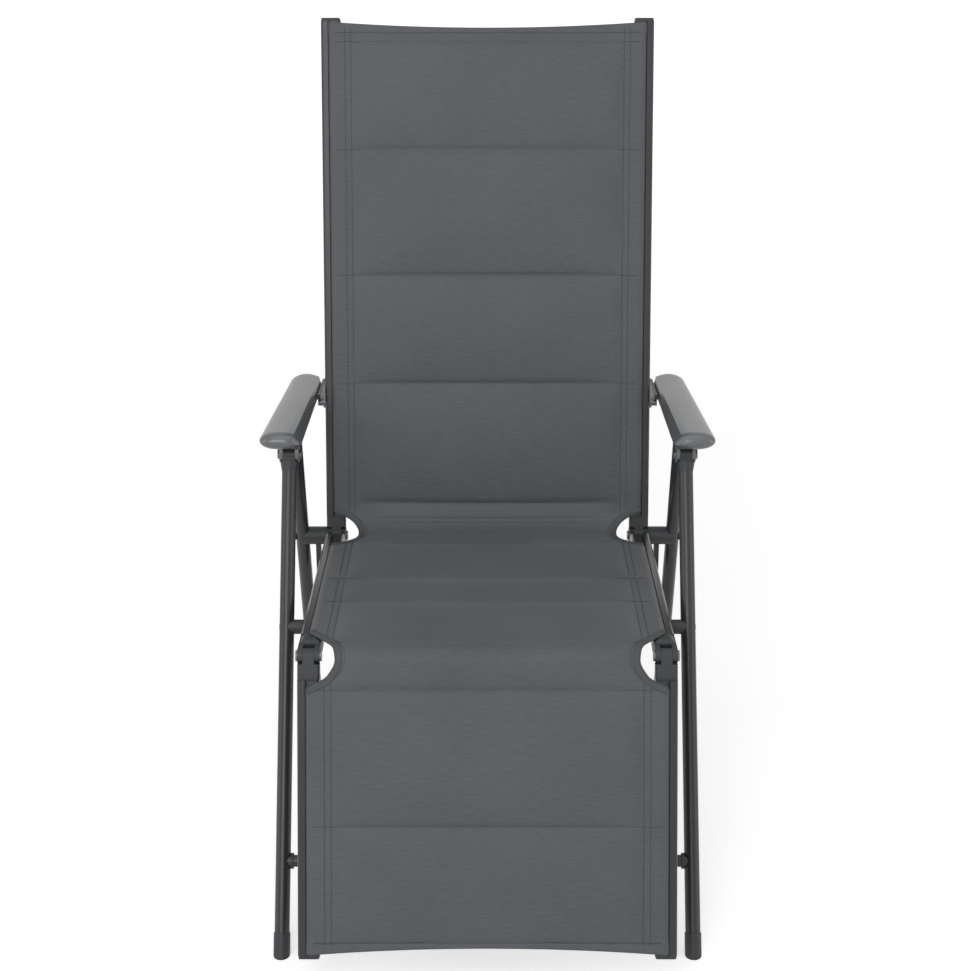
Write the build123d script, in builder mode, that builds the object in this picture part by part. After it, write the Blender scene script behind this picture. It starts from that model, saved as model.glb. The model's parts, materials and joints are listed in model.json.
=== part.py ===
from build123d import *
from math import cos, hypot, radians, sin
import os

os.makedirs("parts", exist_ok=True)

# Reclining garden armchair with a hanging footrest, in millimetres.
# The chair faces -Y and stands on Z = 0, with the origin under the middle of its outline.
# Left and right are as seen from the front, so the left pieces lie at -X.
# Places in the side view are (Y, Z) pairs, and angles in it are degrees from +Y towards +Z.

# Hinges in the side view
front_hinge = (-250.1734, 413.0)
seat_length = 463.4
seat_angle = -2.35
back_length = 756.0
back_angle = 77.93
footrest_length = 384.0
footrest_angle = 71.94

# Side rails of seat, back and footrest
frame_half_width = 240.0
rail_width = 28.0
rail_height = 26.0
rail_wall = 2.0
rail_corner = 4.0
rail_end_gap = 30.0
front_nose_gap = 43.0
slot_width = 3.0
slot_inset = 11.5
channel_radius = 3.4
channel_wall = 1.6
channel_depth = 6.0
cord_radius = 3.0
end_cap_length = 5.0
end_cap_taper = 12.0

# Hinges
ear_thickness = 6.5
fork_depth = 20.0
front_fork_depth = 14.0
nose_radius = 13.5
nose_corner = 8.0
shoulder_gap = 0.5
hinge_gap = 0.3
front_barrel_radius = 9.5
rear_barrel_radius = 13.5
neck_half_height = 9.5
neck_corner = 3.0
hinge_pin_radius = 4.0
running_gap = 0.05
plug_length = 45.0
plug_gap = 0.25
pin_head_radius = 7.0
pin_head_thickness = 2.5

# Legs
tube_radius = 10.0
tube_wall = 1.5
front_leg_gap = 31.0
front_leg_x = frame_half_width + front_leg_gap
front_leg_foot = -294.1734
front_leg_angle = 61.6
rear_leg_gap = 37.0
rear_leg_x = frame_half_width + rear_leg_gap
rear_leg_angle = 109.3
rear_head_drop = 11.75
rear_head_radius = 11.0
foot_length = 29.0
foot_wall = 1.0
foot_edge = 0.5
seating_gap = 0.1
cross_tube_radius = 8.0
flange_radius = 10.5
flange_thickness = 4.0
front_cross_place = 121.6
rear_cross_upper_place = 150.0
rear_cross_lower_place = 345.0
saddle_tail_length = 62.0
saddle_tail_width = 16.0
saddle_tail_gap = 10.0
saddle_tail_x = frame_half_width + saddle_tail_gap
saddle_tail_thickness = 7.0

# Seat pivot on the front legs, measured from the foot
seat_pivot_place = 432.0
spacer_radius = 10.0
bracket_thickness = 6.0
bracket_half_length = 36.0
bolt_radius = 4.0
bolt_head_radius = 6.5
bolt_head_thickness = 3.0

# Armrests
arm_pivot_height = 588.0
arm_clearance = 15.0
arm_angle = -3.0
arm_height = 24.0
arm_front_overhang = 42.0
arm_rear_reach = 318.0
arm_inner_gap = 11.5
arm_inner_x = frame_half_width + arm_inner_gap
arm_front_width = 57.0
arm_rear_width = 46.0
arm_front_round = 16.0
arm_rear_round = 23.0
arm_crown_radius = 11.0
arm_wall = 4.0
arm_recess = 12.0
arm_ear_thickness = 5.0
arm_ear_radius = 11.0
tongue_width = 16.0
connector_length = 25.0
connector_radius = 12.5
rest_ear_thickness = 5.0
rest_ear_half_length = 24.0

# Recline combs on the armrests and the pins of the back rails under them
track_pin_rise = 13.65
track_pin_radius = 5.0
comb_gap = 0.5
comb_thickness = 4.5
comb_end_margin = 12.0
comb_top_margin = 14.5
comb_bottom_margin = 2.0
comb_notches = 5
notch_depth = 2.5
recline_range = 24.0

# Levers and rods that raise the footrest
lever_length = 45.0
lever_angle = -70.0
lever_thickness = 6.0
lever_width = 12.0
rod_height = 12.0
rod_pin_radius = 2.5

# Spreader tubes under the sling
spreader_radius = 7.0
spreader_drop = 6.0
seat_spreader_inset = 90.0
back_spreader_lower_inset = 110.0
back_spreader_upper_inset = 56.0
footrest_spreader_inset = 49.0

# Padded sling: insets from each panel's ends, and seams as shares of its length from the hinge
cloth_thickness = 2.4
cloth_lift = 0.3
pad_half_width = 187.0
pad_front_crown = 8.0
pad_rear_crown = 3.5
pad_seam_height = 1.2
pad_side_draw = 4.0
cutout_radius = 27.0
cloth_sag = 8.0
cloth_end_inset = 6.0
back_cloth_inset = 24.0
seat_front_inset = 8.0
seat_rear_inset = 19.4
footrest_cloth_inset = 8.0
back_seam_shares = (0.04, 0.312, 0.561, 0.802, 0.96)
seat_seam_shares = (0.026, 0.324, 0.514, 0.831, 0.945)
footrest_seam_shares = (0.11, 0.56, 0.945)

# Overrun of cuts past the piece that they cut
overrun = 5.0


def along(point, angle, distance, rise=0):
    """Place in the side view, a distance along an angle and a rise square to it."""
    forward = (cos(radians(angle)), sin(radians(angle)))
    return (
        point[0] + distance * forward[0] - rise * forward[1],
        point[1] + distance * forward[1] + rise * forward[0],
    )


def seen_from(point, angle, place):
    """The same place as a distance along an angle and a rise square to it."""
    return along((0, 0), -angle, place[0] - point[0], place[1] - point[1])


def side_plane(point, angle, x=0):
    """Sketch plane seen from the side: local X runs along, local Y stands on the sitting face."""
    direction = (0, cos(radians(angle)), sin(radians(angle)))
    return Plane(origin=(x, point[0], point[1]), x_dir=direction, z_dir=(1, 0, 0))


def section_plane(point, angle, x=0):
    """Sketch plane across a rail or tube: local X is the chair's X, local -Y the sitting face."""
    direction = (0, cos(radians(angle)), sin(radians(angle)))
    return Plane(origin=(x, point[0], point[1]), x_dir=(1, 0, 0), z_dir=direction)


def face_plane(point, angle, rise):
    """Sketch plane on a panel's sitting face: local X is the chair's X, local Y runs along."""
    place = along(point, angle, 0, rise)
    normal = (0, -sin(radians(angle)), cos(radians(angle)))
    return Plane(origin=(0, place[0], place[1]), x_dir=(1, 0, 0), z_dir=normal)


def write(piece, name):
    """Label one piece and write its file."""
    piece.label = name
    export_step(piece, f"parts/{name}.step")


def write_pair(piece, name):
    """Write a right-hand piece and its mirror image on the left as two files."""
    write(mirror(piece, about=Plane.YZ), f"{name}_left")
    write(piece, f"{name}_right")


def write_both(piece, name):
    """Write a small right-hand piece together with its mirror image as one file."""
    with BuildPart() as both:
        add(piece)
        mirror(about=Plane.YZ)
    write(both.part, name)


def reach_to(point, angle, height):
    """How far along an angle a line from a point reaches a height."""
    return (height - point[1]) / sin(radians(angle))


rear_hinge = along(front_hinge, seat_angle, seat_length)
rail_x = frame_half_width - rail_width / 2
rail_inner_x = frame_half_width - rail_width
slot_x = frame_half_width - slot_inset
rail_top = rail_height / 2
front_foot = (front_leg_foot, 0)
front_leg_inner_x = front_leg_x - tube_radius
rear_leg_inner_x = rear_leg_x - tube_radius
seat_pivot = along(front_foot, front_leg_angle, seat_pivot_place)
arm_pivot_place = reach_to(front_foot, front_leg_angle, arm_pivot_height)
arm_pivot = along(front_foot, front_leg_angle, arm_pivot_place)
front_leg_seam = arm_pivot_place - connector_length
rear_hinge_place = -reach_to(rear_hinge, rear_leg_angle, 0)
rear_foot = along(rear_hinge, rear_leg_angle, -rear_hinge_place)

# The rear leg's head and the track pin stay level with the armrest, as seen along its underside
hinge_seen = seen_from(arm_pivot, arm_angle, rear_hinge)
rear_leg_reach = reach_to(hinge_seen, rear_leg_angle - arm_angle, -rear_head_drop)
rear_head = along(rear_hinge, rear_leg_angle, rear_leg_reach)
track_pin_place = reach_to(hinge_seen, back_angle - arm_angle, track_pin_rise)


# Side rails: hollow sling profiles with a cord channel that opens on the sitting face
def rail(start, angle, length):
    with BuildPart() as piece:
        with BuildSketch(section_plane(start, angle, rail_x)):
            RectangleRounded(rail_width, rail_height, rail_corner)
            Rectangle(rail_width - 2 * rail_wall, rail_height - 2 * rail_wall, mode=Mode.SUBTRACT)
            with Locations((slot_x - rail_x, channel_depth - rail_top)):
                Circle(channel_radius + channel_wall)
                Circle(channel_radius, mode=Mode.SUBTRACT)
            with Locations((slot_x - rail_x, -rail_top)):
                Rectangle(slot_width, 2 * channel_depth, mode=Mode.SUBTRACT)
        extrude(amount=length)
    return piece.part


def cord(start, angle, length):
    """Round cord that holds the cloth's edge in the channel."""
    centre = along(start, angle, 0, rail_top - channel_depth)
    with BuildPart() as piece:
        with BuildSketch(section_plane(centre, angle, slot_x)):
            Circle(cord_radius)
        extrude(amount=length)
    return piece.part


def rail_cap(start, angle):
    """Plastic cap on the free end of a rail."""
    with BuildPart() as piece:
        with BuildSketch(section_plane(start, angle, rail_x)):
            RectangleRounded(rail_width, rail_height, rail_corner)
        extrude(amount=end_cap_length, taper=end_cap_taper)
    return piece.part


back_rail_start = along(rear_hinge, back_angle, rail_end_gap)
back_rail_length = back_length - rail_end_gap - end_cap_length
back_rail_end = along(back_rail_start, back_angle, back_rail_length)
seat_rail_start = along(front_hinge, seat_angle, front_nose_gap)
seat_rail_length = seat_length - front_nose_gap - rail_end_gap
footrest_rail_start = along(front_hinge, footrest_angle, end_cap_length - footrest_length)
footrest_rail_length = footrest_length - rail_end_gap - end_cap_length
rails = {
    "back": (back_rail_start, back_angle, back_rail_length),
    "seat": (seat_rail_start, seat_angle, seat_rail_length),
    "footrest": (footrest_rail_start, footrest_angle, footrest_rail_length),
}
for panel, (start, angle, length) in rails.items():
    write_pair(rail(start, angle, length), f"{panel}_rail")
    write_both(cord(start, angle, length), f"{panel}_sling_cords")
write_both(rail_cap(back_rail_end, back_angle), "back_rail_caps")
write_both(rail_cap(footrest_rail_start, footrest_angle + 180), "footrest_rail_caps")


# Hinge fittings: each has a plug in its rail, a neck and a barrel
def fitting(hinge_point, angle, face_side, barrel_radius, barrel_half_width, shoulder, end_gap):
    """Plug, neck and barrel; face_side is 1 where the sitting face is left of the angle."""
    plug_width = rail_width - 2 * rail_wall - 2 * plug_gap
    plug_height = rail_height / 2 - rail_wall - plug_gap
    rail_end = along(hinge_point, angle, end_gap)
    neck_start = along(hinge_point, angle, shoulder)
    with BuildPart() as piece:
        with BuildSketch(side_plane(hinge_point, angle, rail_x - barrel_half_width)):
            Circle(barrel_radius)
            with Locations((end_gap / 2, 0)):
                Rectangle(end_gap, 2 * neck_half_height)
        extrude(amount=2 * barrel_half_width)
        with BuildSketch(section_plane(neck_start, angle, rail_x)):
            RectangleRounded(rail_width, 2 * neck_half_height, neck_corner)
        extrude(amount=end_gap - shoulder)
        with BuildSketch(section_plane(rail_end, angle, rail_x)):
            with Locations((0, face_side * plug_height / 2)):
                Rectangle(plug_width, plug_height)
        extrude(amount=plug_length)
    return piece.part


def rail_nose(hinge_point, angle, start, end):
    """Rounded nose as high as the rail, between two distances from the hinge."""
    nose_middle = start + nose_radius
    with BuildPart() as piece:
        with BuildSketch(side_plane(hinge_point, angle, rail_inner_x - overrun)):
            with Locations((nose_middle, 0)):
                Circle(nose_radius)
            with Locations(((nose_middle + end) / 2, 0)):
                Rectangle(end - nose_middle, 2 * nose_radius)
        extrude(amount=rail_width + 2 * overrun)
        with BuildSketch(section_plane(hinge_point, angle, rail_x)):
            RectangleRounded(rail_width, rail_height, nose_corner)
        extrude(amount=end + overrun, mode=Mode.INTERSECT)
    return piece.part


def fork(hinge_point, angle, face_side, barrel_radius, depth, end_gap):
    """Fitting of the seat rail: two ears on either side of a tongue."""
    gap_half = rail_width / 2 - ear_thickness
    gap_height = 2 * (rear_barrel_radius + hinge_gap)
    barrel_half_width = rail_width / 2
    with BuildPart() as piece:
        add(fitting(hinge_point, angle, face_side, barrel_radius, barrel_half_width, depth, end_gap))
        if end_gap > rail_end_gap:
            add(rail_nose(hinge_point, angle, depth, end_gap))
        with BuildSketch(side_plane(hinge_point, angle, rail_x - gap_half)):
            Rectangle(2 * depth, gap_height)
        extrude(amount=2 * gap_half, mode=Mode.SUBTRACT)
        with BuildSketch(side_plane(hinge_point, angle, rail_inner_x - overrun)):
            Circle(hinge_pin_radius + running_gap)
        extrude(amount=rail_width + 2 * overrun, mode=Mode.SUBTRACT)
    return piece.part


tongue_half = rail_width / 2 - ear_thickness - hinge_gap
lever_x = rail_x + tongue_half - lever_thickness
rod_x = lever_x - hinge_gap - lever_thickness


def tongue(hinge_point, angle, face_side, barrel_radius):
    """Fitting of the back or footrest rail: a tongue in the fork, with a lever below it."""
    lever_end = along(hinge_point, lever_angle, lever_length)
    shoulder = barrel_radius + shoulder_gap
    with BuildPart() as piece:
        add(fitting(hinge_point, angle, face_side, barrel_radius, tongue_half, shoulder, rail_end_gap))
        with BuildSketch(side_plane(hinge_point, lever_angle, lever_x)):
            with Locations((lever_length / 2, 0)):
                Rectangle(lever_length, lever_width)
            with Locations((lever_length, 0)):
                Circle(lever_width / 2)
        extrude(amount=lever_thickness)
        with BuildSketch(side_plane(hinge_point, angle, rail_inner_x - overrun)):
            Circle(hinge_pin_radius + running_gap)
        extrude(amount=rail_width + 2 * overrun, mode=Mode.SUBTRACT)
        with BuildSketch(side_plane(lever_end, angle, rail_inner_x)):
            Circle(rod_pin_radius + running_gap)
        extrude(amount=rail_width, mode=Mode.SUBTRACT)
    return piece.part


front_fork = fork(front_hinge, seat_angle, 1, front_barrel_radius, front_fork_depth, front_nose_gap)
rear_fork = fork(rear_hinge, seat_angle + 180, -1, rear_barrel_radius, fork_depth, rail_end_gap)
write_pair(front_fork, "seat_front_fork")
write_pair(rear_fork, "seat_rear_fork")
write_pair(tongue(rear_hinge, back_angle, 1, rear_barrel_radius), "back_hinge_lever")
write_pair(tongue(front_hinge, footrest_angle + 180, -1, front_barrel_radius), "footrest_hinge_lever")


def headed_pin(point, first_x, last_x, radius, head_radius, head_thickness, outer_head=True):
    """Round pin along X with a head outside its inner end, and one outside the outer end if asked."""
    head_places = (first_x - head_thickness, last_x) if outer_head else (first_x - head_thickness,)
    with BuildPart() as piece:
        with BuildSketch(side_plane(point, 0, first_x)):
            Circle(radius)
        extrude(amount=last_x - first_x)
        for head_x in head_places:
            with BuildSketch(side_plane(point, 0, head_x)):
                Circle(head_radius)
            extrude(amount=head_thickness)
    return piece.part


front_pin_ends = (rail_inner_x, frame_half_width)
rear_pin_ends = (rail_inner_x - hinge_gap, rear_leg_x + tube_radius)
hinge_pin_sizes = (hinge_pin_radius, pin_head_radius, pin_head_thickness)
write_both(headed_pin(front_hinge, *front_pin_ends, *hinge_pin_sizes), "front_hinge_pins")
write_both(headed_pin(rear_hinge, *rear_pin_ends, *hinge_pin_sizes), "rear_hinge_pins")

# Rods that tie the back's levers to the footrest's levers: the front eye has the wider bore
rod_front = along(front_hinge, lever_angle, lever_length)
rod_rear = along(rear_hinge, lever_angle, lever_length)
with BuildPart() as link_rod:
    with BuildSketch(side_plane(rod_front, seat_angle, rod_x)):
        with Locations((seat_length / 2, 0)):
            SlotCenterToCenter(seat_length, rod_height)
        Circle(rod_pin_radius + hinge_gap, mode=Mode.SUBTRACT)
        with Locations((seat_length, 0)):
            Circle(rod_pin_radius + running_gap, mode=Mode.SUBTRACT)
    extrude(amount=lever_thickness)
write_pair(link_rod.part, "link_rod")


def rod_pin(point):
    """Pin from the lever through the rod's eye, with a head on the inner side."""
    with BuildPart() as piece:
        with BuildSketch(side_plane(point, 0, rod_x - hinge_gap)):
            Circle(rod_pin_radius)
        extrude(amount=lever_x + lever_thickness - rod_x + hinge_gap)
        with BuildSketch(side_plane(point, 0, rod_x - hinge_gap - pin_head_thickness)):
            Circle(lever_width / 2)
        extrude(amount=pin_head_thickness)
    return piece.part


write_both(rod_pin(rod_front), "footrest_lever_pins")
write_both(rod_pin(rod_rear), "back_lever_pins")


# Spreader tubes between the rails, below the sling
def spreader(hinge_point, angle, place):
    centre = along(hinge_point, angle, place, -spreader_drop)
    with BuildPart() as piece:
        with BuildSketch(side_plane(centre, angle, -rail_inner_x)):
            Circle(spreader_radius)
            Circle(spreader_radius - tube_wall, mode=Mode.SUBTRACT)
        extrude(amount=2 * rail_inner_x)
    return piece.part


spreaders = {
    "seat_front_spreader": (front_hinge, seat_angle, seat_spreader_inset),
    "seat_rear_spreader": (front_hinge, seat_angle, seat_length - seat_spreader_inset),
    "back_lower_spreader": (rear_hinge, back_angle, back_spreader_lower_inset),
    "back_upper_spreader": (rear_hinge, back_angle, back_length - back_spreader_upper_inset),
    "footrest_spreader": (front_hinge, footrest_angle, footrest_spreader_inset - footrest_length),
}
for name, place in spreaders.items():
    write(spreader(*place), name)


# Legs
def leg(foot, angle, x, length, hole_place, hole_radius):
    """Round tube from inside the foot cap, with a cross hole measured from the foot."""
    with BuildPart() as piece:
        with BuildSketch(section_plane(along(foot, angle, foot_length / 2), angle, x)):
            Circle(tube_radius)
            Circle(tube_radius - tube_wall, mode=Mode.SUBTRACT)
        extrude(amount=length - foot_length / 2)
        hole_point = along(foot, angle, hole_place)
        with BuildSketch(side_plane(hole_point, angle, x - tube_radius - overrun)):
            Circle(hole_radius + running_gap)
        extrude(amount=2 * (tube_radius + overrun), mode=Mode.SUBTRACT)
    return piece.part


def foot_cap(foot, angle, x):
    """Cap round the tube's end, cut level where it stands on the ground."""
    with BuildPart() as piece:
        with BuildSketch(section_plane(along(foot, angle, -tube_radius), angle, x)):
            Circle(tube_radius + foot_wall)
        extrude(amount=foot_length + tube_radius)
        fillet(piece.faces().sort_by(Axis.Z)[-1].edges(), foot_edge)
        seat_start = along(foot, angle, foot_length / 2 - seating_gap)
        with BuildSketch(section_plane(seat_start, angle, x)):
            Circle(tube_radius + seating_gap)
        extrude(amount=foot_length, mode=Mode.SUBTRACT)
        with BuildSketch(Plane.XY):
            with Locations((x, foot[0])):
                Rectangle(2 * foot_length, 2 * foot_length)
        extrude(amount=-foot_length, mode=Mode.SUBTRACT)
    return piece.part


front_leg_sizes = (front_leg_seam, seat_pivot_place, bolt_radius)
write_pair(leg(front_foot, front_leg_angle, front_leg_x, *front_leg_sizes), "front_leg")
write_pair(foot_cap(front_foot, front_leg_angle, front_leg_x), "front_foot")
rear_leg_length = rear_hinge_place + rear_leg_reach - rear_head_radius
rear_leg_sizes = (rear_leg_length, rear_hinge_place, hinge_pin_radius)
write_pair(leg(rear_foot, rear_leg_angle, rear_leg_x, *rear_leg_sizes), "rear_leg")
write_pair(foot_cap(rear_foot, rear_leg_angle, rear_leg_x), "rear_foot")

with BuildPart() as rear_leg_head:
    with BuildSketch(side_plane(rear_head, rear_leg_angle, rear_leg_inner_x)):
        Circle(rear_head_radius)
    extrude(amount=2 * tube_radius)
    with BuildSketch(section_plane(rear_head, rear_leg_angle + 180, rear_leg_x)):
        Circle(tube_radius - seating_gap)
    extrude(amount=rear_head_radius)
    with BuildSketch(section_plane(rear_head, rear_leg_angle + 180, rear_leg_x)):
        Circle(tube_radius - tube_wall - seating_gap)
    extrude(amount=plug_length)
write_both(rear_leg_head.part, "rear_leg_heads")


# Cross tubes between the legs, fitted to the round of each leg
def cross_tube(point, angle, leg_x):
    with BuildPart() as piece:
        with BuildSketch(side_plane(point, angle, -leg_x)):
            Circle(cross_tube_radius)
            Circle(cross_tube_radius - tube_wall, mode=Mode.SUBTRACT)
        extrude(amount=2 * leg_x)
        for side_x in (-leg_x, leg_x):
            with BuildSketch(section_plane(point, angle, side_x)):
                Circle(tube_radius + seating_gap)
            extrude(amount=2 * tube_radius, both=True, mode=Mode.SUBTRACT)
    return piece.part


front_cross = along(front_foot, front_leg_angle, front_cross_place)
rear_cross_upper = along(rear_hinge, rear_leg_angle, -rear_cross_upper_place)
rear_cross_lower = along(rear_hinge, rear_leg_angle, -rear_cross_lower_place)
write(cross_tube(front_cross, front_leg_angle, front_leg_x), "front_cross_tube")
write(cross_tube(rear_cross_upper, rear_leg_angle, rear_leg_x), "rear_cross_tube_upper")
write(cross_tube(rear_cross_lower, rear_leg_angle, rear_leg_x), "rear_cross_tube_lower")

with BuildPart() as front_flange:
    with BuildSketch(side_plane(front_cross, 0, front_leg_inner_x - flange_thickness)):
        Circle(flange_radius)
        Circle(cross_tube_radius + seating_gap, mode=Mode.SUBTRACT)
    extrude(amount=flange_thickness)
write_both(front_flange.part, "front_cross_flanges")

# Seat pivot: bracket under the rail, spacer and bolt through the front leg
pivot_seen = seen_from(front_hinge, seat_angle, seat_pivot)
bracket_x = frame_half_width - bracket_thickness
with BuildPart() as seat_bracket:
    with BuildSketch(side_plane(front_hinge, seat_angle, bracket_x)):
        with BuildLine():
            Polyline(
                (pivot_seen[0] - bracket_half_length, -rail_top),
                (pivot_seen[0] + bracket_half_length, -rail_top),
                (pivot_seen[0] + spacer_radius, pivot_seen[1]),
                (pivot_seen[0] - spacer_radius, pivot_seen[1]),
                close=True,
            )
        make_face()
        with Locations(pivot_seen):
            Circle(spacer_radius)
            Circle(bolt_radius + running_gap, mode=Mode.SUBTRACT)
    extrude(amount=bracket_thickness)
write_both(seat_bracket.part, "seat_pivot_brackets")

with BuildPart() as front_spacer:
    with BuildSketch(side_plane(seat_pivot, front_leg_angle, frame_half_width + hinge_gap)):
        Circle(spacer_radius - seating_gap)
    extrude(amount=front_leg_x - frame_half_width - hinge_gap)
    with BuildSketch(section_plane(seat_pivot, front_leg_angle, front_leg_x)):
        Circle(tube_radius + seating_gap)
    extrude(amount=2 * spacer_radius, both=True, mode=Mode.SUBTRACT)
    with BuildSketch(side_plane(seat_pivot, front_leg_angle, frame_half_width)):
        Circle(bolt_radius + running_gap)
    extrude(amount=front_leg_x - frame_half_width, mode=Mode.SUBTRACT)
write_both(front_spacer.part, "seat_pivot_spacers")

seat_bolt_ends = (bracket_x - hinge_gap, front_leg_x + tube_radius)
bolt_sizes = (bolt_radius, bolt_head_radius, bolt_head_thickness)
write_both(headed_pin(seat_pivot, *seat_bolt_ends, *bolt_sizes, outer_head=False), "seat_pivot_bolts")

# Rear spacer: a saddle on the rear leg with a tail that hangs beside the rail
with BuildPart() as rear_saddle:
    with BuildSketch(side_plane(rear_hinge, rear_leg_angle, frame_half_width + hinge_gap)):
        Circle(rear_barrel_radius)
    extrude(amount=rear_leg_x - frame_half_width - hinge_gap)
    with BuildSketch(side_plane(rear_hinge, -90, saddle_tail_x)):
        with Locations((saddle_tail_length / 2, 0)):
            SlotCenterToCenter(saddle_tail_length, saddle_tail_width)
    extrude(amount=saddle_tail_thickness)
    with BuildSketch(section_plane(rear_hinge, rear_leg_angle, rear_leg_x)):
        Circle(tube_radius + seating_gap)
    extrude(amount=2 * saddle_tail_length, both=True, mode=Mode.SUBTRACT)
    with BuildSketch(side_plane(rear_hinge, 0, frame_half_width)):
        Circle(hinge_pin_radius + running_gap)
    extrude(amount=rear_leg_x - frame_half_width, mode=Mode.SUBTRACT)
write_pair(rear_saddle.part.solids().sort_by(SortBy.VOLUME)[-1], "rear_saddle")

# Connectors on top of the front legs, with the tongue that carries the armrest
connector_start = along(front_foot, front_leg_angle, front_leg_seam)
connector_end = along(arm_pivot, front_leg_angle, -arm_ear_radius - hinge_gap)
with BuildPart() as arm_connector:
    with BuildSketch(section_plane(connector_start, front_leg_angle, front_leg_x)):
        Circle(tube_radius)
    with BuildSketch(section_plane(connector_end, front_leg_angle, front_leg_x)):
        Circle(connector_radius)
    loft()
    with BuildSketch(section_plane(connector_start, front_leg_angle + 180, front_leg_x)):
        Circle(tube_radius - tube_wall - seating_gap)
    extrude(amount=plug_length)
    with BuildSketch(side_plane(arm_pivot, front_leg_angle, front_leg_x - tongue_width / 2)):
        Circle(arm_ear_radius)
        with Locations((-arm_ear_radius / 2 - hinge_gap, 0)):
            Rectangle(arm_ear_radius + 2 * hinge_gap, 2 * connector_radius - 2 * neck_corner)
    extrude(amount=tongue_width)
    with BuildSketch(side_plane(arm_pivot, 0, front_leg_inner_x)):
        Circle(hinge_pin_radius + running_gap)
    extrude(amount=2 * tube_radius, mode=Mode.SUBTRACT)
write_pair(arm_connector.part, "arm_connector")

inner_ear_x = front_leg_x - tongue_width / 2 - hinge_gap - arm_ear_thickness
outer_ear_x = front_leg_x + tongue_width / 2 + hinge_gap
arm_pin_ends = (inner_ear_x - hinge_gap, outer_ear_x + arm_ear_thickness + hinge_gap)
arm_pin_sizes = (hinge_pin_radius, bolt_head_radius, pin_head_thickness)
write_both(headed_pin(arm_pivot, *arm_pin_ends, *arm_pin_sizes), "arm_pivot_pins")


# Armrests: moulded ovals on a tapering outline, hollow below, with their ears
def arm_outline(margin):
    """Plan of the right armrest with round ends, drawn in by a margin."""
    front_middle = arm_inner_x + arm_front_width / 2
    rear_middle = arm_inner_x + arm_rear_width / 2
    inner_x = arm_inner_x + margin
    front_outer_x = arm_inner_x + arm_front_width - margin
    rear_outer_x = arm_inner_x + arm_rear_width - margin
    front_turn = arm_front_round - arm_front_overhang
    rear_turn = arm_rear_reach - arm_rear_round
    front_nose = (front_middle, margin - arm_front_overhang)
    rear_nose = (rear_middle, arm_rear_reach - margin)
    with BuildLine() as outline:
        ThreePointArc((inner_x, front_turn), front_nose, (front_outer_x, front_turn))
        Line((front_outer_x, front_turn), (rear_outer_x, rear_turn))
        ThreePointArc((rear_outer_x, rear_turn), rear_nose, (inner_x, rear_turn))
        Line((inner_x, rear_turn), (inner_x, front_turn))
    return outline.line


arm_underside = face_plane(arm_pivot, arm_angle, arm_clearance)
with BuildPart() as armrest:
    with BuildSketch(arm_underside):
        with BuildLine():
            add(arm_outline(0))
        make_face()
    extrude(amount=arm_height)
    fillet(armrest.faces().sort_by(Axis.Z)[-1].edges(), arm_crown_radius)
    with BuildSketch(arm_underside):
        with BuildLine():
            add(arm_outline(arm_wall))
        make_face()
    extrude(amount=arm_recess, mode=Mode.SUBTRACT)
    for ear_x in (inner_ear_x, outer_ear_x):
        with BuildSketch(side_plane(arm_pivot, arm_angle, ear_x)):
            Circle(arm_ear_radius)
            with Locations((0, (arm_clearance + arm_recess) / 2)):
                Rectangle(2 * arm_ear_radius, arm_clearance + arm_recess)
        extrude(amount=arm_ear_thickness)
        with BuildSketch(side_plane(arm_pivot, 0, ear_x)):
            Circle(hinge_pin_radius + running_gap)
        extrude(amount=arm_ear_thickness, mode=Mode.SUBTRACT)
write_pair(armrest.part, "armrest")

# Ear below each armrest, outside the head of the rear leg
head_seen = seen_from(arm_pivot, arm_angle, rear_head)
rest_boss_x = rear_leg_x + tube_radius + 2 * hinge_gap
rest_ear_x = rest_boss_x + pin_head_thickness
with BuildPart() as rest_ear:
    with BuildSketch(side_plane(arm_pivot, arm_angle, rest_ear_x)):
        with BuildLine():
            Polyline(
                (head_seen[0] - rest_ear_half_length, arm_clearance + arm_recess),
                (head_seen[0] + rest_ear_half_length, arm_clearance + arm_recess),
                (head_seen[0] + rear_head_radius, head_seen[1]),
                (head_seen[0] - rear_head_radius, head_seen[1]),
                close=True,
            )
        make_face()
        with Locations(head_seen):
            Circle(rear_head_radius)
    extrude(amount=rest_ear_thickness)
    with BuildSketch(side_plane(rear_head, 0, rest_boss_x)):
        Circle(bolt_head_radius)
    extrude(amount=pin_head_thickness)
write_both(rest_ear.part, "armrest_side_ears")

# Track pins on the back rails and the notched combs above them
track_pin_point = along(rear_hinge, back_angle, track_pin_place)
with BuildPart() as track_pin:
    with BuildSketch(side_plane(track_pin_point, back_angle, frame_half_width)):
        Circle(track_pin_radius)
    extrude(amount=arm_inner_x - hinge_gap - frame_half_width)
write_both(track_pin.part, "back_track_pins")

comb_radius = track_pin_place + track_pin_radius + comb_gap
upright_turn = back_angle - arm_angle
front_notch = along(hinge_seen, upright_turn, track_pin_place)
rear_notch = along(hinge_seen, upright_turn - recline_range, track_pin_place)
comb_front = front_notch[0] - comb_end_margin
comb_rear = rear_notch[0] + comb_end_margin
comb_top = front_notch[1] + comb_top_margin
comb_bottom = rear_notch[1] - comb_bottom_margin
with BuildPart() as comb:
    with BuildSketch(side_plane(arm_pivot, arm_angle, arm_inner_x - comb_thickness)):
        with Locations(((comb_front + comb_rear) / 2, (comb_top + comb_bottom) / 2)):
            Rectangle(comb_rear - comb_front, comb_top - comb_bottom)
        with Locations(hinge_seen):
            Circle(comb_radius, mode=Mode.SUBTRACT)
        for notch in range(comb_notches):
            turn = upright_turn - notch * recline_range / (comb_notches - 1)
            with Locations(along(hinge_seen, turn, track_pin_place)):
                Circle(track_pin_radius + comb_gap + notch_depth, mode=Mode.SUBTRACT)
    extrude(amount=comb_thickness)
write_pair(comb.part, "armrest_comb")


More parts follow.
